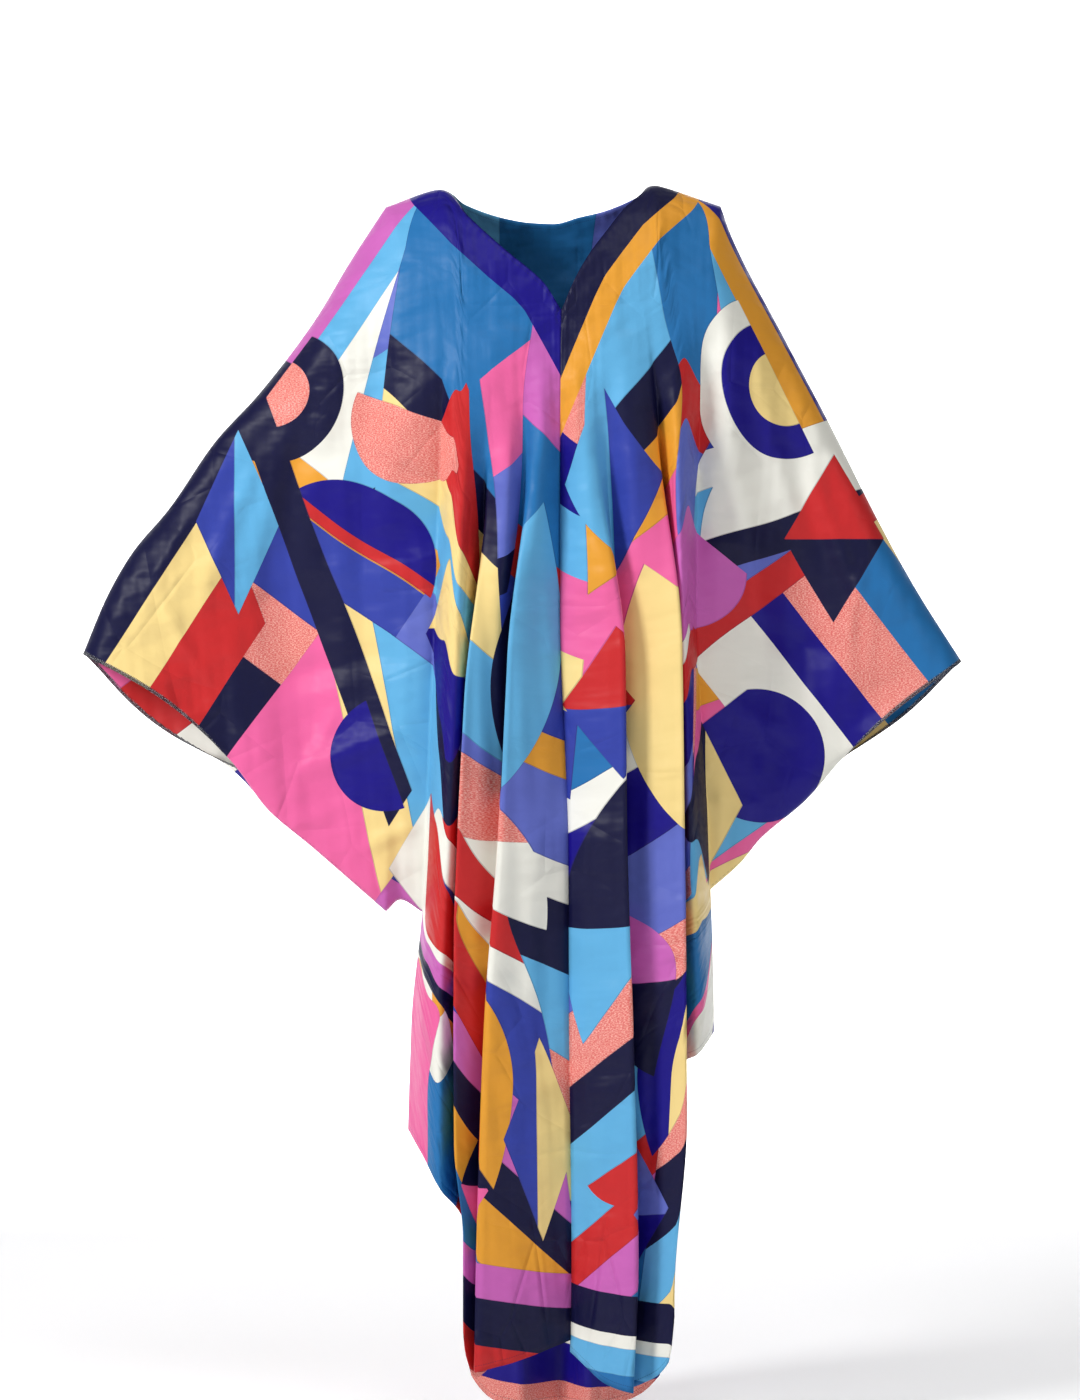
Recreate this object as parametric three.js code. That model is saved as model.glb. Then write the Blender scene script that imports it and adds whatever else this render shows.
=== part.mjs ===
import * as THREE from "three";

// A maxi kaftan dress, hollow and open as it hangs when worn: two front panels joined by a
// centre seam below a deep V, one back panel, and wide sleeves cut in one with the panels.
// Millimetres. +Z is up and the front faces -Y. The origin is on the shoulder line, midway
// between the two shoulder points, where the wearer holds the dress up.

// Cloth and seams
const WALL = 1.6; // thickness of the cloth as a solid
const SEAM = 0.15; // half of the gap between two panels that are sewn together
const V_POINT = { x: 12, z: -154 }; // foot of the neck opening

// Mesh density
const FOLD_STEPS = 3; // columns from a fold line to the next one
const SLEEVE_STEPS = 12; // columns from the body to the cuff
const UPPER_ROWS = 16; // rows from the shoulder to the underarm corner
const LOWER_ROWS = 10; // rows from the underarm corner to the hem

// Depth of the cloth from the shoulder plane, without folds, at named heights.
const DEPTH = {
  z: [-1430, -900, -600, -420, -250, -150, 0],
  front: [100, 106, 106, 104, 112, 102, 96],
  back: [92, 96, 90, 82, 92, 88, 78],
};
const SHOULDER_ROUND = { front: 130, back: 95 }; // height over which the cloth turns forward
const BREAST = { x: 92, z: -235, radius: 62, out: 14 }; // fullness over each breast

// Width at which the body part would close at its sides, per height.
const HALF_WIDTH = {
  z: [-1430, -1000, -900, -700, -600, -300, -150, 0],
  left: [182, 172, 172, 196, 225, 270, 250, 235],
  right: [200, 200, 200, 222, 240, 280, 255, 238],
};

// A sleeve hangs flat below the arm: the arm keeps its top edge round.
const ARM = { radius: 38, hang: 21, taper: 200, seamRound: 60 };
const SLEEVE_WAVE = { deep: 5, across: 2.6, phase: 0.15 };

// Each fold line runs from the neck or shoulder to the hem. top is its x at the upper edge;
// bust, waist, hip, thigh, shin and foot are its x at LEVELS; hem is the height of its end;
// out is how far it stands out from the base (a valley is below 0), and starts the height
// at which it begins to show.
const LEVELS = [-200, -500, -780, -1000, -1270, -1430];
const line = (fold, top, bust, waist, hip, thigh, shin, foot, hem, out, starts) => ({
  fold,
  top,
  x: [bust, waist, hip, thigh, shin, foot],
  hem,
  out,
  starts,
});
const FRONT_LEFT = [
  line("centre seam", 12, 11, 10, 20, 21, 24, 22, -1368, -20, -175),
  line("ridge A", -8, -10, -14, -13, -23, -25, -28, -1392, 22, -190),
  line("valley a", -26, -28, -35, -49, -65, -74, -77, -1404, -20, -200),
  line("ridge B", -46, -48, -55, -67, -79, -88, -89, -1409, 20, -240),
  line("valley b", -66, -68, -76, -89, -97, -100, -97, -1380, -12, -240),
  line("inside of b", -75, -76, -82, -95, -102, -103, -101, -1238, -40, -260),
  line("ridge C", -98, -99, -109, -120, -130, -131, -131, -1186, 20, -210),
  line("neck point", -133, -113, -124, -136, -150, -152, -152, -1150, 2, -210),
  line("side", -198, -128, -137, -149, -167, -173, -173, -1127, -42, -170),
];
const FRONT_RIGHT = [
  line("centre seam", 12, 11, 10, 20, 21, 24, 22, -1382, -20, -175),
  line("ridge A", 28, 33, 42, 47, 52, 55, 52, -1419, 22, -200),
  line("valley a", 46, 57, 72, 75, 82, 88, 82, -1426, -20, -200),
  line("ridge B", 65, 84, 102, 106, 112, 113, 98, -1415, 22, -190),
  line("valley b", 84, 112, 131, 135, 140, 138, 112, -1388, -12, -170),
  line("inside of b", 92, 119, 137, 141, 144, 142, 117, -1052, -42, -170),
  line("ridge C", 106, 142, 153, 163, 172, 172, 172, -1030, 18, -150),
  line("neck point", 124, 158, 163, 175, 184, 184, 184, -1018, 2, -150),
  line("side", 203, 178, 172, 188, 195, 194, 194, -1010, -34, -130),
];
// The back is not shown in the picture, so its folds are like those of the front.
const BACK = [
  line("left side", -198, -128, -137, -149, -167, -173, -173, -1127, -30, -170),
  line("left neck point", -133, -113, -124, -136, -152, -152, -152, -1158, 0, -220),
  line("left ridge C", -104, -96, -106, -119, -131, -131, -131, -1196, 18, -260),
  line("left inside", -84, -78, -86, -98, -103, -104, -100, -1246, -36, -280),
  line("left valley b", -74, -68, -77, -90, -98, -100, -96, -1440, -12, -280),
  line("left ridge B", -52, -46, -52, -62, -68, -72, -72, -1468, 18, -300),
  line("left valley a", -26, -24, -26, -32, -36, -38, -38, -1472, -18, -320),
  line("middle ridge", 4, 6, 8, 10, 12, 12, 10, -1474, 20, -300),
  line("right valley a", 34, 38, 44, 52, 56, 56, 50, -1473, -18, -320),
  line("right ridge B", 62, 72, 82, 92, 98, 98, 84, -1468, 20, -300),
  line("right valley b", 84, 104, 120, 130, 138, 136, 110, -1440, -12, -280),
  line("right inside", 92, 114, 128, 138, 143, 141, 115, -1062, -36, -280),
  line("right ridge C", 106, 138, 148, 162, 172, 172, 172, -1040, 18, -260),
  line("right neck point", 124, 156, 161, 174, 184, 184, 184, -1024, 0, -220),
  line("right side", 203, 178, 172, 188, 195, 194, 194, -1010, -30, -130),
];

// The outline of each sleeve, seen from the front. neck runs from the V to the shoulder
// point, overArm from there to the cuff, under from the underarm corner to the cuff.
// cuffBow is how far the cuff bows outwards from a straight line, front and back.
const SLEEVES = {
  left: {
    neck: { x: [-133, -91, -49, -18, 0, 12], z: [0, -47, -86, -112, -132, -154] },
    shoulder: [-198, -28],
    overArm: [
      [-239, -84],
      [-283, -157],
      [-349, -244],
      [-402, -302],
      [-457, -382],
      [-502, -436],
      [-532, -488],
    ],
    cuffTop: [-561, -557],
    under: [
      [-154, -866],
      [-181, -851],
      [-198, -865],
      [-284, -790],
      [-343, -739],
    ],
    sharp: 2,
    cuffFoot: [-374, -693],
    cuffBow: { front: -13, back: 19 },
  },
  right: {
    neck: { x: [12, 24, 37, 55, 86, 124], z: [-154, -125, -98, -73, -31, 5] },
    shoulder: [203, -26],
    overArm: [
      [216, -56],
      [277, -174],
      [332, -278],
      [394, -401],
      [437, -479],
    ],
    cuffTop: [492, -566],
    under: [
      [191, -839],
      [228, -806],
      [250, -779],
      [306, -731],
    ],
    sharp: 0,
    cuffFoot: [350, -680],
    cuffBow: { front: -5, back: 10 },
  },
};
const BACK_NECK = 34; // how far the back neck dips below the shoulder points

const clamp = (t) => Math.min(1, Math.max(0, t));
const mix = (a, b, t) => a + (b - a) * t;
const smooth = (t) => clamp(t) ** 2 * (3 - 2 * clamp(t));
// A quarter circle: rises steeply from 0, level at 1.
const rounded = (t) => Math.sqrt(1 - (1 - clamp(t)) ** 2);

// A smooth curve through values at rising knots, level at each highest and lowest one.
function through(knots, values, at) {
  const last = knots.length - 1;
  if (at <= knots[0]) return values[0];
  if (at >= knots[last]) return values[last];
  const slope = (k) => (values[k + 1] - values[k]) / (knots[k + 1] - knots[k]);
  const tangent = (k) => {
    if (k === 0) return slope(0);
    if (k === last) return slope(last - 1);
    const [before, after] = [slope(k - 1), slope(k)];
    return before * after <= 0 ? 0 : (2 * before * after) / (before + after);
  };
  let k = 0;
  while (at > knots[k + 1]) k += 1;
  const width = knots[k + 1] - knots[k];
  const t = (at - knots[k]) / width;
  return (
    values[k] * (1 + 2 * t) * (1 - t) ** 2 +
    tangent(k) * width * t * (1 - t) ** 2 +
    values[k + 1] * t ** 2 * (3 - 2 * t) +
    tangent(k + 1) * width * t ** 2 * (t - 1)
  );
}

// A point at share t of the way along a path of [x, z] corners.
function along(path, t) {
  const length = [0];
  for (let k = 1; k < path.length; k += 1) {
    const step = Math.hypot(path[k][0] - path[k - 1][0], path[k][1] - path[k - 1][1]);
    length.push(length[k - 1] + step);
  }
  const at = clamp(t) * length[path.length - 1];
  const coordinate = (c) =>
    through(
      length,
      path.map((p) => p[c]),
      at,
    );
  return [coordinate(0), coordinate(1)];
}

const sideOf = (x) => (x < V_POINT.x ? "left" : "right");

// The height of the upper edge of the outline over x: level between the shoulder points.
function topOf(side, x) {
  const { neck, shoulder } = SLEEVES[side];
  const point = side === "left" ? 0 : neck.x.length - 1;
  const t = (x - neck.x[point]) / (shoulder[0] - neck.x[point]);
  return mix(neck.z[point], shoulder[1], clamp(t));
}

// Depth of the cloth without folds, 0 on the shoulder line and at the sides.
function baseDepth(face, x, z) {
  const side = sideOf(x);
  const full = through(DEPTH.z, DEPTH[face], z);
  const width = through(HALF_WIDTH.z, HALF_WIDTH[side], z);
  const across = (1 - clamp(Math.abs(x) / width) ** 3) ** (1 / 3);
  const turned = rounded((topOf(side, x) - z) / SHOULDER_ROUND[face]);
  const away = Math.hypot(Math.abs(x) - BREAST.x, z - BREAST.z) / BREAST.radius;
  const breast = face === "front" ? BREAST.out * Math.exp(-(away ** 2)) : 0;
  return (full + breast) * across * turned;
}

// The height at which a fold line starts, on the neck edge or the shoulder.
function startOf(face, fold) {
  const side = sideOf(fold.top);
  const { neck, shoulder } = SLEEVES[side];
  if (Math.abs(fold.top) >= Math.abs(shoulder[0])) return shoulder[1];
  if (face === "front") return through(neck.x, neck.z, fold.top);
  const point = side === "left" ? 0 : neck.x.length - 1;
  const dip = 1 - (Math.abs(fold.top) / Math.abs(neck.x[point])) ** 2;
  return neck.z[point] - BACK_NECK * Math.max(0, dip);
}

// Shares of the way down at which the rows lie, closer at the shoulder and the underarm.
const upperShare = (j) => {
  const t = j / UPPER_ROWS;
  return mix(t, (1 - Math.cos(Math.PI * t)) / 2, 0.55);
};

// The points of one fold line, a row each: [x, depth, z].
function foldLine(face, fold) {
  const side = sideOf(fold.top);
  const corner = SLEEVES[side].under[0];
  const isSide = fold.fold.endsWith("side");
  const start = startOf(face, fold);
  const knots = [...LEVELS].reverse();
  const values = [...fold.x].reverse();
  if (isSide) {
    const below = knots.findIndex((z) => z > corner[1]);
    knots.splice(below, 0, corner[1]);
    values.splice(below, 0, corner[0]);
  }
  knots.push(start);
  values.push(fold.top);
  const points = [];
  for (let j = 0; j <= UPPER_ROWS + LOWER_ROWS; j += 1) {
    const z =
      j <= UPPER_ROWS
        ? mix(start, corner[1], upperShare(j))
        : mix(corner[1], fold.hem, (j - UPPER_ROWS) / LOWER_ROWS);
    const x = through(knots, values, z);
    const shows = smooth((fold.starts - z) / 260) * mix(1, 1.2, smooth((-z - 900) / 500));
    let depth = baseDepth(face, x, z) + fold.out * shows;
    if (isSide) depth *= rounded((z - corner[1]) / 110);
    points.push([x, Math.max(depth, SEAM), z]);
  }
  return points;
}

// The points of a sleeve, a column each from the body to the cuff.
function sleeve(face, side, edge) {
  const cut = SLEEVES[side];
  const upper = [cut.shoulder, ...cut.overArm, cut.cuffTop];
  const lower = [...cut.under, cut.cuffFoot];
  const bow = cut.cuffBow[face];
  const sharpAt = cut.sharp ? 2 / SLEEVE_STEPS : 0;
  const underAt = (u) =>
    u < sharpAt
      ? along(lower.slice(0, cut.sharp + 1), u / sharpAt)
      : along(lower.slice(cut.sharp), (u - sharpAt) / (1 - sharpAt));
  const cuffAt = (v) => {
    const [dx, dz] = [0, 1].map((c) => cut.cuffFoot[c] - cut.cuffTop[c]);
    const turn = (bow * Math.sin(Math.PI * v)) / Math.hypot(dx, dz);
    const out = side === "left" ? 1 : -1;
    return [
      mix(cut.cuffTop[0], cut.cuffFoot[0], v) + out * turn * dz,
      mix(cut.cuffTop[1], cut.cuffFoot[1], v) - out * turn * dx,
    ];
  };
  const columns = [];
  for (let i = 1; i <= SLEEVE_STEPS; i += 1) {
    const u = i / SLEEVE_STEPS;
    const [over, under] = [along(upper, u), underAt(u)];
    const length = Math.hypot(over[0] - under[0], over[1] - under[1]);
    const column = [];
    for (let j = 0; j <= UPPER_ROWS; j += 1) {
      const v = upperShare(j);
      const [body, cuff] = [[edge[j][0], edge[j][2]], cuffAt(v)];
      const flat = [0, 1].map((c) => {
        const corners = mix(
          mix([edge[0][0], edge[0][2]][c], cut.cuffTop[c], u),
          mix(lower[0][c], cut.cuffFoot[c], u),
          v,
        );
        return mix(over[c], under[c], v) + mix(body[c], cuff[c], u) - corners;
      });
      const [below, above] = [v * length, (1 - v) * length];
      const loose = smooth((below - ARM.radius) / ARM.taper);
      const own =
        rounded(below / ARM.radius) * mix(ARM.radius, ARM.hang, loose) * rounded(above / ARM.seamRound);
      const swing = Math.cos(2 * Math.PI * (u * SLEEVE_WAVE.across + SLEEVE_WAVE.phase));
      const wave = SLEEVE_WAVE.deep * swing * Math.sin(Math.PI * v) ** 2 * smooth(u * 3);
      const facing = face === "front" ? 1 : -1;
      const depth = mix(edge[j][1], own, smooth(u / 0.5)) + facing * wave;
      column.push([flat[0], Math.max(depth, SEAM), flat[1]]);
    }
    columns.push(column);
  }
  return columns;
}

// A panel as columns of points, from one end to the other. A sleeve's columns stop at the
// underarm row. seam tells which points lie on a seam.
function panel(face, folds, sides) {
  const lines = folds.map((fold) => foldLine(face, fold));
  const knots = lines.map((_, k) => k);
  const columns = [];
  for (let i = 0; i <= (lines.length - 1) * FOLD_STEPS; i += 1) {
    const at = i / FOLD_STEPS;
    columns.push(
      lines[0].map((_, j) =>
        [0, 1, 2].map((c) =>
          through(
            knots,
            lines.map((points) => points[j][c]),
            at,
          ),
        ),
      ),
    );
  }
  const body = columns.length;
  let before = 0;
  if (sides.includes("right")) columns.push(...sleeve(face, "right", columns[body - 1]));
  if (sides[0] === "left" && folds[0].top < 0) {
    const left = sleeve(face, "left", columns[0]).reverse();
    before = left.length;
    columns.unshift(...left);
  } else if (sides.includes("left")) {
    columns.push(...sleeve(face, "left", columns[body - 1]));
  }
  return { face, columns, bodyFrom: before, bodyTo: before + body - 1 };
}

// Thickens a panel outwards into one closed body, its faces out.
function thicken({ face, columns, bodyFrom, bodyTo }, centre) {
  const toward = face === "front" ? -1 : 1;
  const index = columns.map(() => []);
  const inner = [];
  columns.forEach((column, i) =>
    column.forEach(([x, depth, z], j) => {
      const onCentre = centre && i === bodyFrom;
      const shift = onCentre ? centre * SEAM : 0;
      index[i][j] = inner.length;
      inner.push(new THREE.Vector3(x + shift, toward * depth, z));
    }),
  );
  const quads = [];
  for (let i = 0; i + 1 < columns.length; i += 1) {
    const rows = Math.min(columns[i].length, columns[i + 1].length);
    for (let j = 0; j + 1 < rows; j += 1) {
      const quad = [index[i][j], index[i + 1][j], index[i + 1][j + 1], index[i][j + 1]];
      quads.push(quad);
    }
  }
  const rising = inner[index[bodyTo][0]].x > inner[index[bodyFrom][0]].x ? 1 : -1;
  const outwards = rising * toward > 0;
  const triangles = quads.flatMap(([a, b, c, d]) =>
    outwards
      ? [
          [a, b, c],
          [a, c, d],
        ]
      : [
          [a, c, b],
          [a, d, c],
        ],
  );
  const normal = inner.map(() => new THREE.Vector3());
  triangles.forEach(([a, b, c]) => {
    const ab = inner[b].clone().sub(inner[a]);
    const ac = inner[c].clone().sub(inner[a]);
    const n = ab.cross(ac);
    [a, b, c].forEach((k) => normal[k].add(n));
  });
  const used = new Map();
  triangles.forEach((t) =>
    t.forEach((a, k) => used.set(a + ":" + t[(k + 1) % 3], [a, t[(k + 1) % 3]])),
  );
  const rim = [...used.values()].filter(([a, b]) => !used.has(b + ":" + a));
  const onRim = new Set(rim.flat());
  const outer = inner.map((p, k) => {
    const n = normal[k].clone();
    if (onRim.has(k) && Math.abs(p.y) <= SEAM + 1e-6) n.y = 0;
    if (centre && index[bodyFrom].includes(k)) n.x = 0;
    return p.clone().addScaledVector(n.normalize(), WALL);
  });
  const count = inner.length;
  const faces = [
    ...triangles.map((t) => t.map((k) => k + count)),
    ...triangles.map(([a, b, c]) => [a, c, b]),
    ...rim.flatMap(([a, b]) => [
      [b + count, a + count, a],
      [b + count, a, b],
    ]),
  ];
  const geometry = new THREE.BufferGeometry();
  const points = [...inner, ...outer].flatMap((p) => p.toArray());
  geometry.setAttribute("position", new THREE.Float32BufferAttribute(points, 3));
  geometry.setIndex(faces.flat());
  geometry.computeVertexNormals();
  return geometry;
}

// The printed satin: the plain colour of each panel is the one that covers most of it.
const satin = (colour) =>
  new THREE.MeshStandardMaterial({ color: colour, roughness: 0.45, metalness: 0, side: 2 });

const dress = new THREE.Group();
const add = (name, colour, geometry) => {
  const mesh = new THREE.Mesh(geometry, satin(colour));
  mesh.name = name;
  dress.add(mesh);
};
add("front_left", 0x3c96cd, thicken(panel("front", FRONT_LEFT, ["left"]), -1));
add("front_right", 0xe66eb4, thicken(panel("front", FRONT_RIGHT, ["right"]), 1));
add("back", 0x3c4bb4, thicken(panel("back", BACK, ["left", "right"]), 0));

export default dress;
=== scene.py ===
# %% [markdown]
# # A maxi kaftan in printed satin
#
# The dress is three lengths of cloth: two front panels that meet in a centre seam below a
# deep V, and one back panel. The sleeves are cut in one with the panels, so there is no
# armhole seam. It hangs from the shoulder line and the arms, and everything below falls
# in upright folds to an uneven hem.

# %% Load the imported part
import math

import bpy
import numpy as np
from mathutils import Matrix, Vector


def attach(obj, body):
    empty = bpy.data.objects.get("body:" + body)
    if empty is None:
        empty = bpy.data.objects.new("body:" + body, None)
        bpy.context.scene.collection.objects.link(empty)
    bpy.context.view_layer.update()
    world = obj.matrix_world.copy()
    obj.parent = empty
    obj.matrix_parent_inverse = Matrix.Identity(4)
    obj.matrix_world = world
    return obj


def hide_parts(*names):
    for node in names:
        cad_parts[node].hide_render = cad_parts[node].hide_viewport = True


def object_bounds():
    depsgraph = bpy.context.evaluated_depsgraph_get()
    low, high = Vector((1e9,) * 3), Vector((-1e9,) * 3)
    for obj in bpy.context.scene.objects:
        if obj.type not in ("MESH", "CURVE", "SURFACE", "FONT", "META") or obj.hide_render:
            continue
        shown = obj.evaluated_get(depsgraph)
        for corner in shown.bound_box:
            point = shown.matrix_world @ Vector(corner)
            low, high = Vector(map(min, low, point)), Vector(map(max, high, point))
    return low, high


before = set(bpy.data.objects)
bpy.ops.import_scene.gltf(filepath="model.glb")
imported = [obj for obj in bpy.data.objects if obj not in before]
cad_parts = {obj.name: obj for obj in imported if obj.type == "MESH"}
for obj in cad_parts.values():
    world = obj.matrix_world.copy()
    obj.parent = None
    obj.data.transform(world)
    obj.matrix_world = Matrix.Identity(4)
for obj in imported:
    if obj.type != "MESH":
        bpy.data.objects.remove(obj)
CAD_BOX = [[float(v) for v in corner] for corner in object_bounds()]
print("packed part:", sorted(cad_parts), "box", CAD_BOX)

# %% [markdown]
# ## Camera, light and floor
#
# A long lens from 5 metres keeps the folds nearly free of perspective. The main soft light
# stands at the upper left, near enough to shade the folds. Weaker ones from the right,
# above and behind and a pale room fill the shadows.

# %% Camera
CAMERA_AWAY = 5.0
LOOK_AT = (-0.0132, 0.0, -0.612)  # middle of the picture, at the dress
PICTURE_TALL = 1.68  # metres of the dress's plane that the picture's long side covers
bpy.ops.object.select_all(action="DESELECT")
bpy.ops.object.camera_add(
    location=(LOOK_AT[0], -CAMERA_AWAY, LOOK_AT[2]), rotation=(math.radians(90), 0, 0)
)
camera = bpy.context.object
camera.data.lens = camera.data.sensor_width * CAMERA_AWAY / PICTURE_TALL
bpy.context.scene.camera = camera
print("lens", round(camera.data.lens, 1), "mm")

# %% Lights
LIGHTS = [
    # name, x, y, z, size, watts, y of the point that it is aimed at
    ("key softbox", -3.0, -2.3, 1.2, 1.0, 122, 0),
    ("fill softbox", 2.6, -3.2, 0.2, 1.8, 18, 0),
    ("top softbox", 0.4, -1.6, 2.4, 1.4, 26, 0),
    ("back softbox", 0.4, 3.0, 0.4, 2.4, 20, 0),
    ("wall softbox", 0.0, 3.6, 2.4, 3.0, 900, 10),
]
for name, x, y, z, size, watts, at_y in LIGHTS:
    aim = math.atan2(math.hypot(x, at_y - y), z + 0.6)
    bpy.ops.object.light_add(
        type="AREA", location=(x, y, z), rotation=(aim, 0, math.atan2(x, at_y - y))
    )
    lamp = bpy.context.object
    lamp.name = name
    lamp.data.size = size
    lamp.data.energy = watts
room = bpy.data.worlds.new("pale room")
bpy.context.scene.world = room
room.use_nodes = True
room.node_tree.nodes["Background"].inputs["Color"].default_value = (1.0, 1.0, 1.0, 1)
room.node_tree.nodes["Background"].inputs["Strength"].default_value = 0.2
bpy.context.scene.view_settings.view_transform = "Standard"
print(len(LIGHTS), "soft lights")

# %% [markdown]
# In a studio a roll of pale paper hangs down and runs on over the floor, so that no
# horizon shows. Here a large plane is the floor, its far edge is pulled up into a wall
# and a bevel rounds the bend. The last of the lamps lights that wall alone.

# %% Floor that bends up into a wall
FLOOR_Z = CAD_BOX[0][2] - 0.004
FLOOR_SIZE, WALL_TALL, BEND = 20, 12, 4.0  # metres
bpy.ops.object.select_all(action="DESELECT")
bpy.ops.mesh.primitive_plane_add(size=FLOOR_SIZE, location=(0, 0, FLOOR_Z))
floor = bpy.context.object
floor.name = "studio_floor"
bpy.ops.object.mode_set(mode="EDIT")
bpy.ops.mesh.select_all(action="DESELECT")
bpy.ops.object.mode_set(mode="OBJECT")
for edge in floor.data.edges:
    edge.select = all(floor.data.vertices[k].co.y > FLOOR_SIZE / 2 - 1 for k in edge.vertices)
bpy.ops.object.mode_set(mode="EDIT")
bpy.ops.mesh.select_mode(type="EDGE")
bpy.ops.mesh.extrude_region_move(TRANSFORM_OT_translate={"value": (0, 0, WALL_TALL)})
bpy.ops.object.mode_set(mode="OBJECT")
bend = floor.modifiers.new("bend", "BEVEL")
bend.width = BEND
bend.segments = 24
bpy.ops.object.modifier_apply(modifier="bend")
bpy.ops.object.shade_smooth()
bpy.ops.object.transform_apply(location=True)
print("floor at", round(FLOOR_Z, 4), "metres")

# %% Paper of the floor
paper = bpy.data.materials.new("pale paper")
paper.use_nodes = True
sheet_of_paper = paper.node_tree.nodes["Principled BSDF"]
sheet_of_paper.inputs["Base Color"].default_value = (0.86, 0.86, 0.87, 1)
sheet_of_paper.inputs["Roughness"].default_value = 0.9
sheet_of_paper.inputs["Emission Color"].default_value = (1, 1, 1, 1)
sheet_of_paper.inputs["Emission Strength"].default_value = 0.25
floor.data.materials.append(paper)

# %% [markdown]
# ## Shader maths as Python expressions
#
# A print is many shapes laid over each other, so its material is mostly arithmetic on the
# cloth's own coordinates. One small class wraps a socket, and each operator on it adds
# the Math node that does the sum. Paint.node adds every other kind of node.


# %% Sockets as numbers
class Value:
    def __init__(self, paint, socket):
        self.paint = paint
        self.socket = socket

    def sum(self, operation, *others):
        return self.paint.maths(operation, self, *others)

    def __add__(self, other):
        return self.sum("ADD", other)

    def __sub__(self, other):
        return self.sum("SUBTRACT", other)

    def __mul__(self, other):
        return self.sum("MULTIPLY", other)

    def __truediv__(self, other):
        return self.sum("DIVIDE", other)

    def __gt__(self, other):
        return self.sum("GREATER_THAN", other)

    def __lt__(self, other):
        return self.sum("LESS_THAN", other)


# %% Nodes of a material
class Paint:
    def __init__(self, tree):
        self.tree = tree

    def node(self, kind, settings=None, **values):
        made = self.tree.nodes.new(kind)
        for key, value in (settings or {}).items():
            if key == "stops":
                ramp = made.color_ramp
                ramp.interpolation = "CONSTANT"
                while len(ramp.elements) < len(value):
                    ramp.elements.new(1.0)
                for stop, (at, colour) in zip(ramp.elements, value):
                    stop.position = at
                    stop.color = colour
            else:
                setattr(made, key, value)
        for key, value in values.items():
            name = key.replace("_", " ")
            socket = made.inputs[int(key[1:])] if key[1:].isdigit() else made.inputs[name]
            self.join(socket, value)
        return made

    def join(self, socket, value):
        if isinstance(value, Value):
            value = value.socket
        if isinstance(value, bpy.types.NodeSocket):
            self.tree.links.new(value, socket)
        else:
            socket.default_value = value

    def noise(self, place, scale, detail):
        made = self.node("ShaderNodeTexNoise", None, Vector=place, Scale=scale, Detail=detail)
        return Value(self, made.outputs["Fac"])

    def maths(self, operation, *sides):
        values = {f"i{k}": side for k, side in enumerate(sides)}
        made = self.node("ShaderNodeMath", {"operation": operation}, **values)
        return Value(self, made.outputs[0])

    def vector(self, operation, *sides):
        values = {f"i{k}": side for k, side in enumerate(sides)}
        return self.node("ShaderNodeVectorMath", {"operation": operation}, **values).outputs

    def distance(self, one, other):
        return Value(self, self.vector("DISTANCE", one, other)["Value"])

    def between(self, value, low, high):
        return self.maths("COMPARE", value, (low + high) / 2, (high - low) / 2)

    def split(self, vector):
        apart = self.node("ShaderNodeSeparateXYZ", None, i0=vector)
        return Value(self, apart.outputs[0]), Value(self, apart.outputs[1])

    def mix(self, under, over, mask, blend="MIX"):
        settings = {"data_type": "RGBA", "blend_type": blend}
        return self.node("ShaderNodeMix", settings, i0=mask, i6=under, i7=over).outputs[2]


def rgb(*screen):
    """A colour of 0 to 255 as light, as Blender wants it."""
    shares = [c / 255 for c in screen]
    return (*[c / 12.92 if c < 0.0405 else ((c + 0.055) / 1.055) ** 2.4 for c in shares], 1.0)


# %% [markdown]
# ## How the cloth hangs
#
# The folds are placed one by one. Each row of a table is one fold line, a ridge, a valley or
# a point of the slope between them, with where it runs at six heights, how far it stands
# out and where it ends at the hem. A smooth curve through the lines at each height gives
# the cloth's section there. The same tables shaped the solid part; here they are followed
# in finer steps, and laps, ripples and creases are added. The lengths are in millimetres.

# %% Smooth curves through a table's values
SEAM = 0.15  # half the gap between two panels at their seam
CIRCLE = 6.283


def through(knots, values, at):
    """A curve through values at knots, level at each highest and lowest one."""
    knots = np.asarray(knots, float)
    values = np.asarray(values, float)
    slope = np.diff(values, axis=0) / np.diff(knots).reshape(-1, *[1] * (values.ndim - 1))
    tangent = np.empty_like(values)
    tangent[0], tangent[-1] = slope[0], slope[-1]
    before, after = slope[:-1], slope[1:]
    turn = before * after <= 0
    total = np.where(turn, 1.0, before + after)
    tangent[1:-1] = np.where(turn, 0.0, 2 * before * after / total)
    at = np.clip(np.asarray(at, float), knots[0], knots[-1])
    k = np.clip(np.searchsorted(knots, at, side="right") - 1, 0, len(knots) - 2)
    width = knots[k + 1] - knots[k]
    t = (at - knots[k]) / width
    if values.ndim > 1:
        shape = (-1, *[1] * (values.ndim - 1))
        t, width = t.reshape(shape), width.reshape(shape)
    return (
        values[k] * (1 + 2 * t) * (1 - t) ** 2
        + tangent[k] * width * t * (1 - t) ** 2
        + values[k + 1] * t**2 * (3 - 2 * t)
        + tangent[k + 1] * width * t**2 * (t - 1)
    )


def mix(a, b, t):
    return a + (b - a) * t


def smooth(t):
    t = np.clip(t, 0, 1)
    return t * t * (3 - 2 * t)


def rounded(t):
    return np.sqrt(1 - (1 - np.clip(t, 0, 1)) ** 2)


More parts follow.
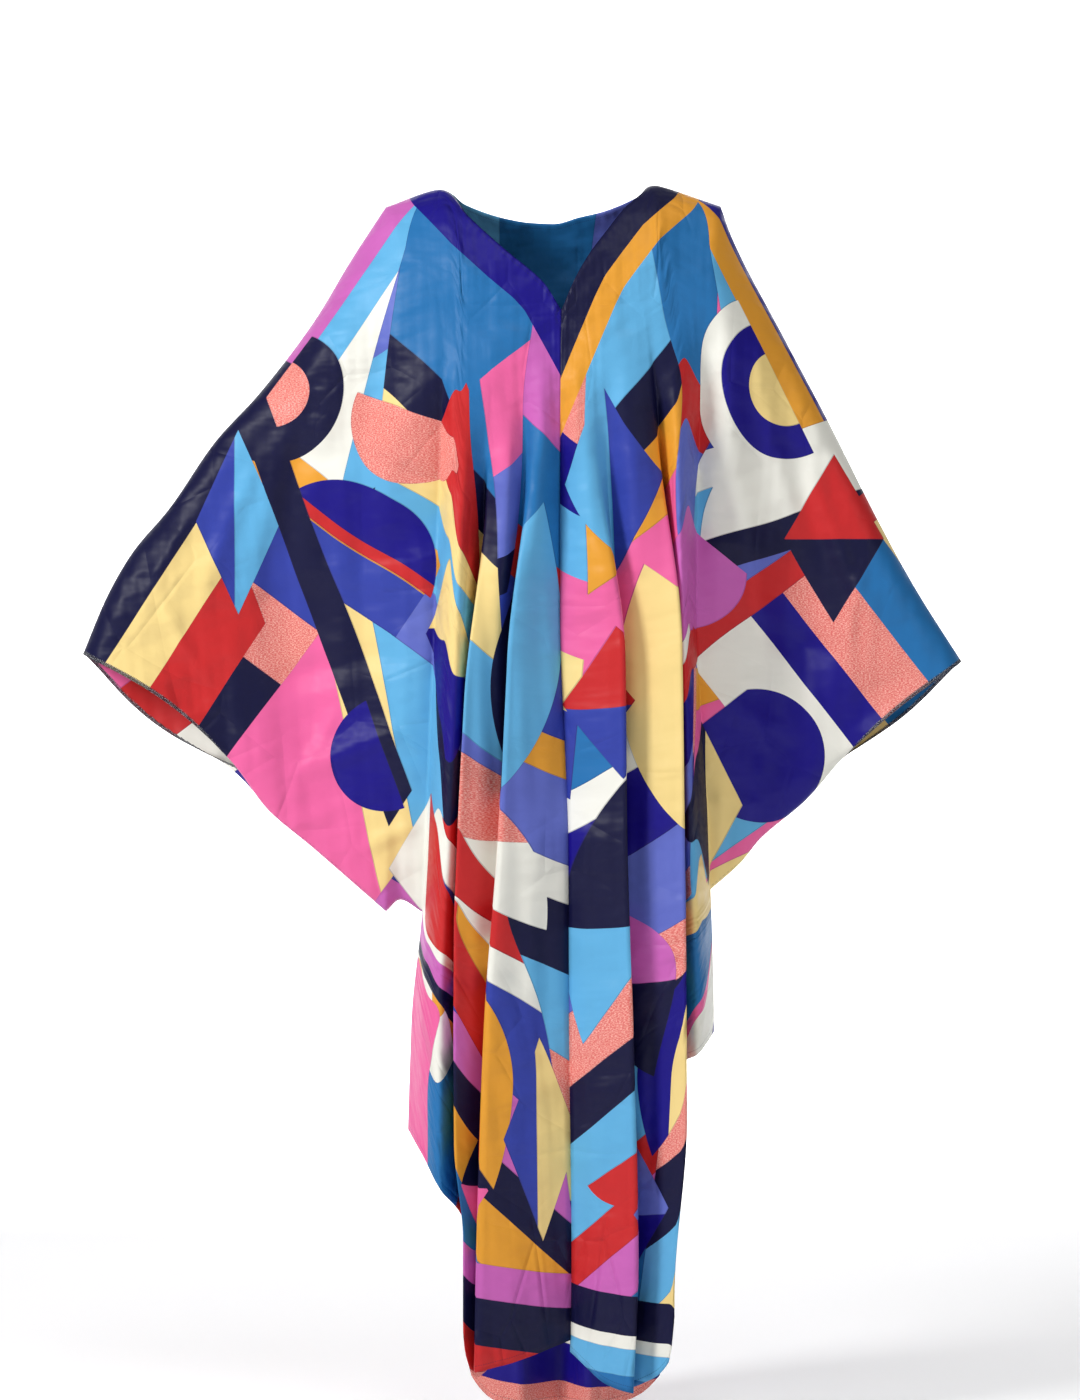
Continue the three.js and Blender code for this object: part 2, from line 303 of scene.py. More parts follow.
# %% The tables of the hanging cloth
V_X = 12
DEPTH_Z = [-1430, -900, -600, -420, -250, -150, 0]
DEPTH = {"front": [100, 106, 106, 104, 112, 102, 96], "back": [92, 96, 90, 82, 92, 88, 78]}
SHOULDER_ROUND = {"front": 130, "back": 95}
BREAST_X, BREAST_Z, BREAST_RADIUS, BREAST_OUT = 92, -235, 62, 14
HALF_WIDTH_Z = [-1430, -1000, -900, -700, -600, -300, -150, 0]
HALF_WIDTH = {
    "left": [182, 172, 172, 196, 225, 270, 250, 235],
    "right": [200, 200, 200, 222, 240, 280, 255, 238],
}
LEVELS = [-1430, -1270, -1000, -780, -500, -200]
# kind, x at the top, x at six heights from bust to foot, height of the hem,
# how far it stands out, height where it starts
FRONT_LEFT = [
    ("valley", 12, (11, 10, 20, 21, 24, 22), -1368, -20, -175),
    ("ridge", -8, (-10, -14, -13, -23, -25, -28), -1392, 22, -190),
    ("valley", -26, (-28, -35, -49, -65, -74, -77), -1404, -20, -200),
    ("ridge", -46, (-48, -55, -67, -79, -88, -89), -1409, 20, -240),
    ("slope", -66, (-68, -76, -89, -97, -100, -97), -1380, -12, -240),
    ("valley", -75, (-76, -82, -95, -102, -103, -101), -1238, -40, -260),
    ("ridge", -98, (-99, -109, -120, -130, -131, -131), -1186, 20, -210),
    ("slope", -133, (-113, -124, -136, -150, -152, -152), -1150, 2, -210),
    ("side", -198, (-128, -137, -149, -167, -173, -173), -1127, -42, -170),
]
FRONT_RIGHT = [
    ("valley", 12, (11, 10, 20, 21, 24, 22), -1382, -20, -175),
    ("ridge", 28, (33, 42, 47, 52, 55, 52), -1419, 22, -200),
    ("valley", 46, (57, 72, 75, 82, 88, 82), -1426, -20, -200),
    ("ridge", 65, (84, 102, 106, 112, 113, 98), -1415, 22, -190),
    ("slope", 84, (112, 131, 135, 140, 138, 112), -1388, -12, -170),
    ("valley", 92, (119, 137, 141, 144, 142, 117), -1052, -42, -170),
    ("ridge", 106, (142, 153, 163, 172, 172, 172), -1030, 18, -150),
    ("slope", 124, (158, 163, 175, 184, 184, 184), -1018, 2, -150),
    ("side", 203, (178, 172, 188, 195, 194, 194), -1010, -34, -130),
]
BACK = [
    ("side", -198, (-128, -137, -149, -167, -173, -173), -1127, -30, -170),
    ("slope", -133, (-113, -124, -136, -152, -152, -152), -1158, 0, -220),
    ("ridge", -104, (-96, -106, -119, -131, -131, -131), -1196, 18, -260),
    ("valley", -84, (-78, -86, -98, -103, -104, -100), -1246, -36, -280),
    ("slope", -74, (-68, -77, -90, -98, -100, -96), -1440, -12, -280),
    ("ridge", -52, (-46, -52, -62, -68, -72, -72), -1468, 18, -300),
    ("valley", -26, (-24, -26, -32, -36, -38, -38), -1472, -18, -320),
    ("ridge", 4, (6, 8, 10, 12, 12, 10), -1474, 20, -300),
    ("valley", 34, (38, 44, 52, 56, 56, 50), -1473, -18, -320),
    ("ridge", 62, (72, 82, 92, 98, 98, 84), -1468, 20, -300),
    ("slope", 84, (104, 120, 130, 138, 136, 110), -1440, -12, -280),
    ("valley", 92, (114, 128, 138, 143, 141, 115), -1062, -36, -280),
    ("ridge", 106, (138, 148, 162, 172, 172, 172), -1040, 18, -260),
    ("slope", 124, (156, 161, 174, 184, 184, 184), -1024, 0, -220),
    ("side", 203, (178, 172, 188, 195, 194, 194), -1010, -30, -130),
]
print(len(FRONT_LEFT) + len(FRONT_RIGHT) + len(BACK), "fold lines")

# %% [markdown]
# The outline of the sleeves comes next: the line over the arm, the cuff and the lower
# edge, seen from the front. The cuff's back edge hangs lower than its front edge, so the
# paler inside of the back shows in it.

# %% Outline of the neck and sleeves
NECK = {
    "left": ([-133, -91, -49, -18, 0, 12], [0, -47, -86, -112, -132, -154]),
    "right": ([12, 24, 37, 55, 86, 124], [-154, -125, -98, -73, -31, 5]),
}
SHOULDER = {"left": (-198, -21), "right": (203, -20)}
OVER_ARM = {
    "left": [(-239, -84), (-283, -157), (-349, -244), (-402, -302), (-457, -382),
             (-502, -436), (-532, -488)],
    "right": [(216, -56), (277, -174), (332, -278), (394, -401), (437, -479)],
}
CUFF_TOP = {"left": (-561, -557), "right": (492, -566)}
CUFF_FOOT = {"left": (-374, -693), "right": (350, -680)}
UNDER = {
    "left": [(-154, -866), (-181, -851), (-198, -865), (-284, -790), (-343, -739)],
    "right": [(191, -839), (228, -806), (250, -779), (306, -731)],
}
SHARP = {"left": 2, "right": 0}
SHARP_AT = 1 / 6
CUFF_BOW = {"left": {"front": -13, "back": 19}, "right": {"front": -5, "back": 10}}
BACK_NECK = 34
ARM_RADIUS, ARM_HANG, ARM_TAPER, SEAM_ROUND = 38, 21, 200, 60
SWING_DEEP, SWING_ACROSS, SWING_PHASE = 5, 2.6, 0.15
SETTLED = 0.5  # share of the sleeve's length in which the body's folds fade out
UPPER_ROWS, LOWER_ROWS = 116, 88
SLEEVE_STEPS = 84


def side_of(x):
    return "left" if x < V_X else "right"


def along(path, t):
    path = np.asarray(path, float)
    length = np.concatenate([[0], np.cumsum(np.hypot(*np.diff(path, axis=0).T))])
    return through(length, path, np.atleast_1d(t) * length[-1])


def top_of(side, x):
    xs, zs = NECK[side]
    point = 0 if side == "left" else -1
    t = (x - xs[point]) / (SHOULDER[side][0] - xs[point])
    return mix(zs[point], SHOULDER[side][1], np.clip(t, 0, 1))


def base_depth(face, side, x, z):
    full = through(DEPTH_Z, DEPTH[face], z)
    width = through(HALF_WIDTH_Z, HALF_WIDTH[side], z)
    across = (1 - np.clip(np.abs(x) / width, 0, 1) ** 3) ** (1 / 3)
    turned = rounded((top_of(side, x) - z) / SHOULDER_ROUND[face])
    away = np.hypot(np.abs(x) - BREAST_X, z - BREAST_Z) / BREAST_RADIUS
    breast = BREAST_OUT * np.exp(-(away**2)) if face == "front" else 0
    return (full + breast) * across * turned


def start_of(face, top):
    side = side_of(top)
    xs, zs = NECK[side]
    if abs(top) >= abs(SHOULDER[side][0]):
        return SHOULDER[side][1]
    if face == "front":
        return float(through(xs, zs, top))
    point = 0 if side == "left" else -1
    return zs[point] - BACK_NECK * max(0, 1 - (top / xs[point]) ** 2)


def row_shares():
    t = np.arange(UPPER_ROWS + 1) / UPPER_ROWS
    return mix(t, (1 - np.cos(np.pi * t)) / 2, 0.55)


# %% [markdown]
# Satin is soft, so a fold lies over the next one: the cloth climbs to the fold's outer
# edge, turns there and runs back under itself. The points between two valleys are laid
# again in that way. The fold in the middle of the back has no outer edge and stays a
# wave. Small upright ripples of uneven length lie over the large folds, made from a few
# waves with fixed random phases.

# %% Ripples, and how the folds lie
FOLD_GROWS = 260  # length in which a fold grows to its full depth
FLARE, FLARE_FROM, FLARE_LONG = 1.2, -900, 500  # folds are deeper towards the hem
SIDE_CLOSES = 110  # height above the underarm in which front and back meet
OVERLAP, MOST_OVERLAP = 15.0, 0.35  # of a fold over the next one, and its share at most
TURN = 0.74  # share of a fold's points that lie before its edge turns under
CLIMB, COME_BACK, SINK = 0.85, 1.25, 0.8  # powers that round the fold
LAP_LATER, LAP_GROWS = 40, 330  # a lap starts below its fold and grows in this length
MIDDLE_FOLD = 15  # a fold that reaches further than this on both sides isn't lapped
HEM_ROOM, HEM_FADE = 60, 90  # above the side's hem the outermost lap fades out
chance = np.random.default_rng(7)


def ripples(count, short, long, tilt):
    """Waves of random length and place: (x and z per wavelength, phase, fading waves)."""
    return [
        (
            1 / chance.uniform(*short),
            chance.uniform(-tilt, tilt) / 100,
            chance.uniform(0, 6.28),
            1 / chance.uniform(*long),
            chance.uniform(0, 6.28),
        )
        for _ in range(count)
    ]


def rippled(waves, x, z):
    total = 0
    for fast, lean, phase, slow, fade in waves:
        wave = np.sin(CIRCLE * (x * fast + z * lean) + phase)
        gate = np.clip(np.sin(CIRCLE * z * slow + fade + x * 0.013), 0, 1)
        total = total + wave * gate
    return total / math.sqrt(len(waves))


BODY_WAVES = ripples(7, (16, 44), (340, 900), 0.10)
SLEEVE_WAVES = ripples(9, (60, 170), (240, 700), 0.9)
print(len(BODY_WAVES) + len(SLEEVE_WAVES), "ripples")


# %% The body of a panel
def fold_line(face, fold):
    kind, top, xs, hem, out, starts = fold
    side = side_of(top)
    corner = UNDER[side][0]
    start = start_of(face, top)
    knots = [*LEVELS, start]
    values = [*reversed(xs), top]
    if kind == "side":
        place = next(k for k, z in enumerate(knots) if z > corner[1])
        knots.insert(place, corner[1])
        values.insert(place, corner[0])
    lower = np.arange(1, LOWER_ROWS + 1) / LOWER_ROWS
    z = np.concatenate([mix(start, corner[1], row_shares()), mix(corner[1], hem, lower)])
    x = through(knots, values, z)
    flare = mix(1, FLARE, smooth((FLARE_FROM - z) / FLARE_LONG))
    shows = smooth((starts - z) / FOLD_GROWS) * flare
    depth = base_depth(face, side, x, z) + out * shows
    if kind == "side":
        depth = depth * rounded((z - corner[1]) / SIDE_CLOSES)
    return np.stack([x, np.maximum(depth, SEAM), z], axis=-1)


def pleat(flat, shows):
    """A lapped fold: it climbs to its outer edge, turns and runs back under itself."""
    q = np.linspace(0, 1, len(flat))[:, None]
    climb, back_under = np.clip(q / TURN, 0, 1), np.clip((q - TURN) / (1 - TURN), 0, 1)
    inner, outer = flat[0], flat[-1]
    width = outer[:, 0] - inner[:, 0]
    over = np.sign(width) * np.minimum(OVERLAP, np.abs(width) * MOST_OVERLAP) * shows
    top = flat[..., 1].max(axis=0)
    x = inner[:, 0] + (width + over) * climb - over * back_under**COME_BACK
    high = mix(inner[:, 1], top, climb**CLIMB)
    depth = mix(high, outer[:, 1], back_under**SINK)
    return np.stack([x, depth, flat[..., 2]], axis=-1)


def side_beside(folds, first, last, turned):
    """The side line that a fold between two valleys lies next to, if it does."""
    place = first - 3 if turned else last + 3
    if 0 <= place < len(folds) and folds[place][0] == "side":
        return folds[place]
    return None


def body(face, folds, steps):
    """Points [column, row] of the body of a panel: x, depth, z."""
    lines = np.stack([fold_line(face, fold) for fold in folds])
    count = (len(folds) - 1) * steps
    at = np.arange(count + 1) / steps
    points = through(np.arange(len(folds)), lines, at)
    starts = through(np.arange(len(folds)), [float(f[5]) for f in folds], at)
    valleys = [k for k, fold in enumerate(folds) if fold[0] == "valley"]
    for first, last in zip(valleys[:-1], valleys[1:]):
        cell = slice(first * steps, last * steps + 1)
        flat = points[cell]
        near_x, far_x = flat[0, -1, 0] - V_X, flat[-1, -1, 0] - V_X
        if near_x * far_x < 0 and min(abs(near_x), abs(far_x)) > MIDDLE_FOLD:
            continue
        turned = abs(near_x) > abs(far_x)
        shows = smooth((starts[cell, None] - flat[..., 2] - LAP_LATER) / LAP_GROWS)
        if turned:
            flat, shows = flat[::-1], shows[::-1]
        over = shows.mean(axis=0)
        side_line = side_beside(folds, first, last, turned)
        if side_line:  # below the side's hem nothing lies beside this fold
            above = flat[-1, :, 2] - side_line[3]
            over = over * (1 - smooth((HEM_ROOM - above) / HEM_FADE))
        folded = pleat(flat, over)
        points[cell] = mix(flat, folded, shows[..., None])[:: -1 if turned else 1]
    return points


# %% [markdown]
# The sleeve goes on from the body without a seam, so its first column of points is the
# body's side line. Seen from the front it fills the space between four curves: that line,
# the cuff, the line over the arm and the lower edge. The arm holds its top out as a soft
# tube, and below the arm the cloth hangs nearly flat, with one long wave to the cuff.

# %% A sleeve, carried on from the side line of the body
def sleeve(face, side, edge):
    upper = [SHOULDER[side], *OVER_ARM[side], CUFF_TOP[side]]
    lower = [*UNDER[side], CUFF_FOOT[side]]
    top, foot = np.array(CUFF_TOP[side], float), np.array(CUFF_FOOT[side], float)
    sharp = SHARP_AT if SHARP[side] else 0
    u = np.arange(1, SLEEVE_STEPS + 1) / SLEEVE_STEPS
    over = along(upper, u)
    under = np.empty_like(over)
    if sharp:
        inner = u <= sharp + 1e-9
        under[inner] = along(lower[: SHARP[side] + 1], u[inner] / sharp)
        under[~inner] = along(lower[SHARP[side] :], (u[~inner] - sharp) / (1 - sharp))
    else:
        under = along(lower, u)
    v = row_shares()
    run = foot - top
    bow = CUFF_BOW[side][face] * np.sin(np.pi * v) / np.hypot(*run)
    out = 1 if side == "left" else -1
    cuff = mix(top, foot, v[:, None]) + (out * bow)[:, None] * np.array([run[1], -run[0]])
    inner_edge = edge[: UPPER_ROWS + 1][:, [0, 2]]
    uu, vv = u[:, None, None], v[None, :, None]
    corners = mix(mix(inner_edge[0], top, uu), mix(np.array(lower[0], float), foot, uu), vv)
    flat = mix(over[:, None], under[:, None], vv)
    flat = flat + mix(inner_edge[None], cuff[None], uu) - corners
    length = np.hypot(*(over - under).T)[:, None]
    below, above = v[None] * length, (1 - v[None]) * length
    loose = smooth((below - ARM_RADIUS) / ARM_TAPER)
    own = rounded(below / ARM_RADIUS) * mix(ARM_RADIUS, ARM_HANG, loose)
    own = own * rounded(above / SEAM_ROUND)
    swing = np.cos(2 * np.pi * (u[:, None] * SWING_ACROSS + SWING_PHASE))
    wave = SWING_DEEP * swing * np.sin(np.pi * v[None]) ** 2 * smooth(u[:, None] * 3)
    facing = 1 if face == "front" else -1
    depth = mix(edge[None, : UPPER_ROWS + 1, 1], own, smooth(u[:, None] / SETTLED))
    depth = depth + facing * wave
    return np.stack([flat[..., 0], np.maximum(depth, SEAM), flat[..., 1]], axis=-1)


# %% [markdown]
# ## Creases
#
# Satin keeps the marks of how it was folded and worn: soft ridges that start at the
# shoulder, the elbow and the underarm and run out. Each row is one, from point to point,
# with its width and height. A second set, like the first, is for the back.

# %% Creases placed one by one
# x and z of both ends, width, height
CREASES = {
    ("front", "left"): [
        (-205, -60, -300, -640, 20, 5),
        (-236, -110, -366, -560, 16, 5),
        (-180, -120, -214, -700, 18, -5),
        (-330, -300, -430, -560, 12, 3.5),
        (-420, -380, -500, -560, 10, 3),
        (-150, -640, -330, -720, 14, 5),
        (-150, -560, -380, -610, 16, -4),
        (-150, -760, -240, -800, 10, 4),
        (-160, -480, -340, -460, 20, 3.5),
        (-250, -330, -350, -330, 12, -3),
        (-300, -700, -250, -600, 8, 2.5),
        (-470, -470, -400, -600, 8, 2.5),
    ],
    ("front", "right"): [
        (214, -70, 286, -640, 18, 5),
        (236, -130, 350, -540, 14, 4),
        (196, -120, 214, -700, 16, -5),
        (300, -290, 410, -560, 12, 3.5),
        (180, -600, 330, -660, 14, 5),
        (180, -500, 380, -560, 16, -4),
        (186, -720, 260, -740, 10, 4),
        (176, -420, 320, -420, 20, 3.5),
        (260, -300, 330, -330, 10, -3),
        (240, -640, 300, -700, 8, 2.5),
        (380, -430, 350, -600, 8, 2.5),
    ],
}
CREASE_GAIN = 1.5  # all heights are raised by this share
BACK_CREASES = 0.8  # and on the back by this one
LOWER_BY = {"left": (14, 30), "right": (22, 16)}  # both ends on the back
for side, (start_by, end_by) in LOWER_BY.items():
    CREASES[("back", side)] = [
        (x0, z0 - start_by, x1, z1 - end_by, width, height * BACK_CREASES)
        for x0, z0, x1, z1, width, height in CREASES[("front", side)]
    ]


def creased(rows, x, z):
    total = np.zeros_like(x)
    for x0, z0, x1, z1, width, height in rows:
        dx, dz = x1 - x0, z1 - z0
        size = math.hypot(dx, dz)
        t = ((x - x0) * dx + (z - z0) * dz) / size**2
        off = ((x - x0) * dz - (z - z0) * dx) / size
        off = off - size * 0.05 * np.sin(np.pi * np.clip(t, 0, 1))
        fade = smooth(t / 0.25) * smooth((1 - t) / 0.45) * (t > 0) * (t < 1)
        total += CREASE_GAIN * height * fade * np.exp(-((off / width) ** 2))
    return total


print(sum(len(rows) for rows in CREASES.values()), "creases")

# %% [markdown]
# ## Panels as meshes
#
# A panel starts as a grid, is laid out point by point on its hanging form, and gets UV
# coordinates that are its own flat cut in metres: how far a point is from the centre
# front along the cloth, and how far below the shoulder. The print is drawn in those, so
# it bends round each fold as real print does. Two more maps hold how far each point is
# from the rim, the cuff and the neck, where the sewing goes. Solidify then gives the
# cloth its two faces, the inner one with the paler reverse.

# %% Lengths along the cloth, and a grid laid on its form
CLOTH = 0.8  # thickness, millimetres
GATHERED = 95.0  # width of cloth held in the folds between centre and side
RIPPLE_HIGH, SLEEVE_RIPPLE_HIGH = 1.7, 1.8
NEAR_SIDE, SIDE_FADE = 120, 90  # from here out the body's ripples give way to the sleeve's
RIPPLES_START, RIPPLES_GROW = -260, 400  # height below which the body ripples, and fade
EDGE_CALM = 14  # depth at which a seam no longer holds the cloth flat
SIDE_ROWS = 34  # rows below the underarm in which the cut's width settles
WELD = 0.00002


def length_along(points, axis):
    """Length over points [column, row], across its columns (0) or down its rows (1)."""
    step = np.linalg.norm(np.diff(points, axis=axis), axis=-1)
    first = np.zeros_like(step[:1] if axis == 0 else step[:, :1])
    return np.concatenate([first, np.cumsum(step, axis=axis)], axis=axis)


def grid_piece(name, points, maps):
    """A grid primitive, laid on points [column, row], with its UV maps."""
    wide, tall = points.shape[:2]
    bpy.ops.object.select_all(action="DESELECT")
    bpy.ops.mesh.primitive_grid_add(x_subdivisions=wide - 1, y_subdivisions=tall - 1, size=1)
    piece = bpy.context.object
    piece.name = name
    mesh = piece.data
    flat = np.zeros(len(mesh.vertices) * 3)
    mesh.vertices.foreach_get("co", flat)
    flat = flat.reshape(-1, 3)
    column = np.rint((flat[:, 0] + 0.5) * (wide - 1)).astype(int)
    row = np.rint((0.5 - flat[:, 1]) * (tall - 1)).astype(int)
    mesh.vertices.foreach_set("co", (points[column, row] / 1000).astype(float).ravel())
    while mesh.uv_layers:
        mesh.uv_layers.remove(mesh.uv_layers[0])
    corner = np.zeros(len(mesh.loops), int)
    mesh.loops.foreach_get("vertex_index", corner)
    for map_name, uv in maps.items():
        layer = mesh.uv_layers.new(name=map_name)
        layer.data.foreach_set("uv", (uv[column, row][corner] / 1000).astype(float).ravel())
    mesh.update()
    return piece


# %% How far each point is from the neck, the rim and the cuff
FAR = 1000.0


def neck_distance(face, part):
    """How far a point of the front is from the neck edge, seen from the front."""
    far = np.full(part.shape[:2], FAR)
    if face == "back":
        return far
    x, z = part[..., 0], part[..., 2]
    xs, zs = map(np.array, NECK["left" if x.mean() < V_X else "right"])
    point, beside = (-1, -2) if xs[0] < 0 else (0, 1)
    slope = (zs[point] - zs[beside]) / (xs[point] - xs[beside])
    beyond = xs[point] + (300 if xs[0] < 0 else -300)
    ends = sorted([*zip(xs, zs), (beyond, zs[point] + slope * (beyond - xs[point]))])
    for (x0, z0), (x1, z1) in zip(ends[:-1], ends[1:]):
        size = math.hypot(x1 - x0, z1 - z0)
        t = np.clip(((x - x0) * (x1 - x0) + (z - z0) * (z1 - z0)) / size**2, 0, 1)
        far = np.minimum(far, np.hypot(x - mix(x0, x1, t), z - mix(z0, z1, t)))
    return far


def edges_of(part, sleeve_end):
    """How far each point is from the upper or lower edge, and from the cuff."""
    fall, out = length_along(part, 1), length_along(part, 0)
    near = np.minimum(fall, fall[:, -1:] - fall)
    cuff = out[-1:] - out if sleeve_end else np.full_like(out, FAR)
    return np.stack([near, cuff], axis=-1)


# %% The flat cut of the body and of a sleeve
def settle(row):
    """A running mean over a row of values."""
    wide = np.pad(row, 12, mode="edge")
    return np.convolve(wide, np.ones(25) / 25, mode="valid")


def body_cut(main, ends, centre):
    """How far out and how far down each point of the body is, its sides made even."""
    across = length_along(main, 0)
    down = length_along(main, 1) - main[:, :1, 2]
    across = across - across[centre]
    for side, column in ends:
        arc = settle(np.abs(across[column]))
        ratio = (np.abs(main[column, :, 0] - V_X) + GATHERED) / arc
        below = smooth((np.arange(len(arc)) - UPPER_ROWS) / SIDE_ROWS)
        ratio = mix(np.where(below > 0, ratio[UPPER_ROWS], ratio), 1, below)
        half = slice(0, centre) if column < centre else slice(centre, None)
        across[half] = across[half] * ratio
    return np.stack([across, down], axis=-1)


def sleeve_cut(carried, edge, way):
    """The same of a sleeve, carried on from the cut along its first column."""
    settled = smooth(np.arange(len(carried)) / (SETTLED * SLEEVE_STEPS))[:, None]
    out = np.abs(carried[..., 0] - V_X)
    lower_by = edge[:, 1] + carried[0, :, 2]
    flat_x = way * out + mix((edge[:, 0] - way * out[0])[None], way * GATHERED, settled)
    flat_z = -carried[..., 2] + mix(lower_by[None], lower_by.mean(), settled)
    return np.stack([flat_x, flat_z], axis=-1)


# %% The form of a panel
def soften(face, part):
    """Lay the ripples and creases over a form, and turn it to its side of the dress."""
    x, z = part[..., 0], part[..., 2]
    near_side = smooth((np.abs(x - V_X) - NEAR_SIDE) / SIDE_FADE)
    edge_room = rounded((part[..., 1] - SEAM) / EDGE_CALM)
    low = smooth((RIPPLES_START - z) / RIPPLES_GROW)
    upright = rippled(BODY_WAVES, x, z) * RIPPLE_HIGH * low * (1 - 0.6 * near_side)
    soft = rippled(SLEEVE_WAVES, x * 0.8 + z * 0.5, z * 0.8 - x * 0.6)
    soft = soft * SLEEVE_RIPPLE_HIGH * near_side
    left = creased(CREASES[(face, "left")], x, z)
    right = creased(CREASES[(face, "right")], x, z)
    depth = part[..., 1] + (upright + (soft + left + right)) * edge_room
    part[..., 1] = np.maximum(depth, SEAM) * (-1 if face == "front" else 1)


def surface(face, folds, steps):
    """Body and sleeves of a panel, their flat cuts and distances from the neck."""
    main = body(face, folds, steps)
    ends = [(side_of(folds[0][1]), 0)] if folds[0][0] == "side" else []
    ends.append((side_of(folds[-1][1]), len(main) - 1))
    centre = 0
    if face == "back":
        centre = next(k for k, fold in enumerate(folds) if fold[1] > -12) * steps
    parts, cuts = [main], [body_cut(main, ends, centre)]
    for side, column in ends:
        arm = sleeve(face, side, main[column])
        carried = np.concatenate([main[column : column + 1, : UPPER_ROWS + 1], arm])
        way = -1 if side == "left" and face == "back" else 1
        parts.append(carried)
        cuts.append(sleeve_cut(carried, cuts[0][column, : UPPER_ROWS + 1], way))
    necks = [neck_distance(face, part) for part in parts]
    for part in parts:
        soften(face, part)
    return parts, cuts, necks


# %% Making one panel
def make_panel(name, face, folds, steps):
    parts, cuts, necks = surface(face, folds, steps)
    pieces = []
    for k, (part, cut, neck) in enumerate(zip(parts, cuts, necks)):
        maps = {"cut": cut, "edges": edges_of(part, k > 0)}
        maps["neck"] = np.stack([neck, neck], axis=-1)
        pieces.append(grid_piece(f"{name}_{k}", part, maps))
    bpy.ops.object.select_all(action="DESELECT")
    for piece in pieces:
        piece.select_set(True)
    bpy.context.view_layer.objects.active = pieces[0]
    bpy.ops.object.join()
    panel = bpy.context.object
    panel.name = name
    bpy.ops.object.mode_set(mode="EDIT")
    bpy.ops.mesh.select_all(action="SELECT")
    bpy.ops.mesh.remove_doubles(threshold=WELD)
    bpy.ops.mesh.normals_make_consistent(inside=False)
    bpy.ops.object.mode_set(mode="OBJECT")
    mesh = panel.data
    normals = sum(p.normal.y * p.area for p in mesh.polygons)
    if (normals > 0) == (face == "front"):
        bpy.ops.object.mode_set(mode="EDIT")
        bpy.ops.mesh.select_all(action="SELECT")
        bpy.ops.mesh.flip_normals()
        bpy.ops.object.mode_set(mode="OBJECT")
    wall = panel.modifiers.new("cloth", "SOLIDIFY")
    wall.thickness = CLOTH / 1000
    wall.offset = 1
    wall.use_even_offset = False
    wall.material_offset = 1
    bpy.ops.object.modifier_apply(modifier="cloth")
    bpy.ops.object.shade_smooth()
    return panel


# %% [markdown]
# The front is two panels, because the V ends in a seam that runs down to the hem. The
# back is one. The fronts get more points between two fold lines than the back, whose
# folds are wider.

# %% The two front panels and the back
front_left = make_panel("left_front_panel", "front", FRONT_LEFT, 9)
front_right = make_panel("right_front_panel", "front", FRONT_RIGHT, 9)
back = make_panel("back_panel", "back", BACK, 6)

# %% [markdown]
# ## The print
#
# The real cloth has a print of large, plain, flat colour fields. This one is a general
# design of the same kind of colours and sizes: strips, discs, leaves and kites, each a
# row of a table. A shape's place is in centimetres on the flat cut, across from the
# centre and down from the shoulder. Later rows lie over earlier ones, as inks do on a
# screen-printed cloth.

# %% Colours of the dyes
DYE = {
    "navy": rgb(12, 13, 54),
    "royal": rgb(20, 8, 124),
    "cobalt": rgb(48, 62, 156),
    "periwinkle": rgb(92, 104, 188),
    "blue": rgb(34, 108, 168),
    "sky": rgb(92, 168, 214),
    "pink": rgb(228, 96, 154),
    "orchid": rgb(194, 96, 176),
    "coral": rgb(220, 112, 104),
    "red": rgb(194, 38, 40),
    "orange": rgb(222, 152, 48),
    "straw": rgb(236, 208, 136),
    "white": rgb(232, 231, 221),
}
RAMP_FROM, RAMP_SPAN = -25.0, 200.0  # centimetres at which a colour ramp starts, and it covers


def stops(text):
    """Colour ramp stops for a text such as "blue 12 pink": blue up to 12, then pink."""
    words = text.split()
    starts = [RAMP_FROM, *map(float, words[1::2])]
    return [((at - RAMP_FROM) / RAMP_SPAN, DYE[dye]) for at, dye in zip(starts, words[::2])]


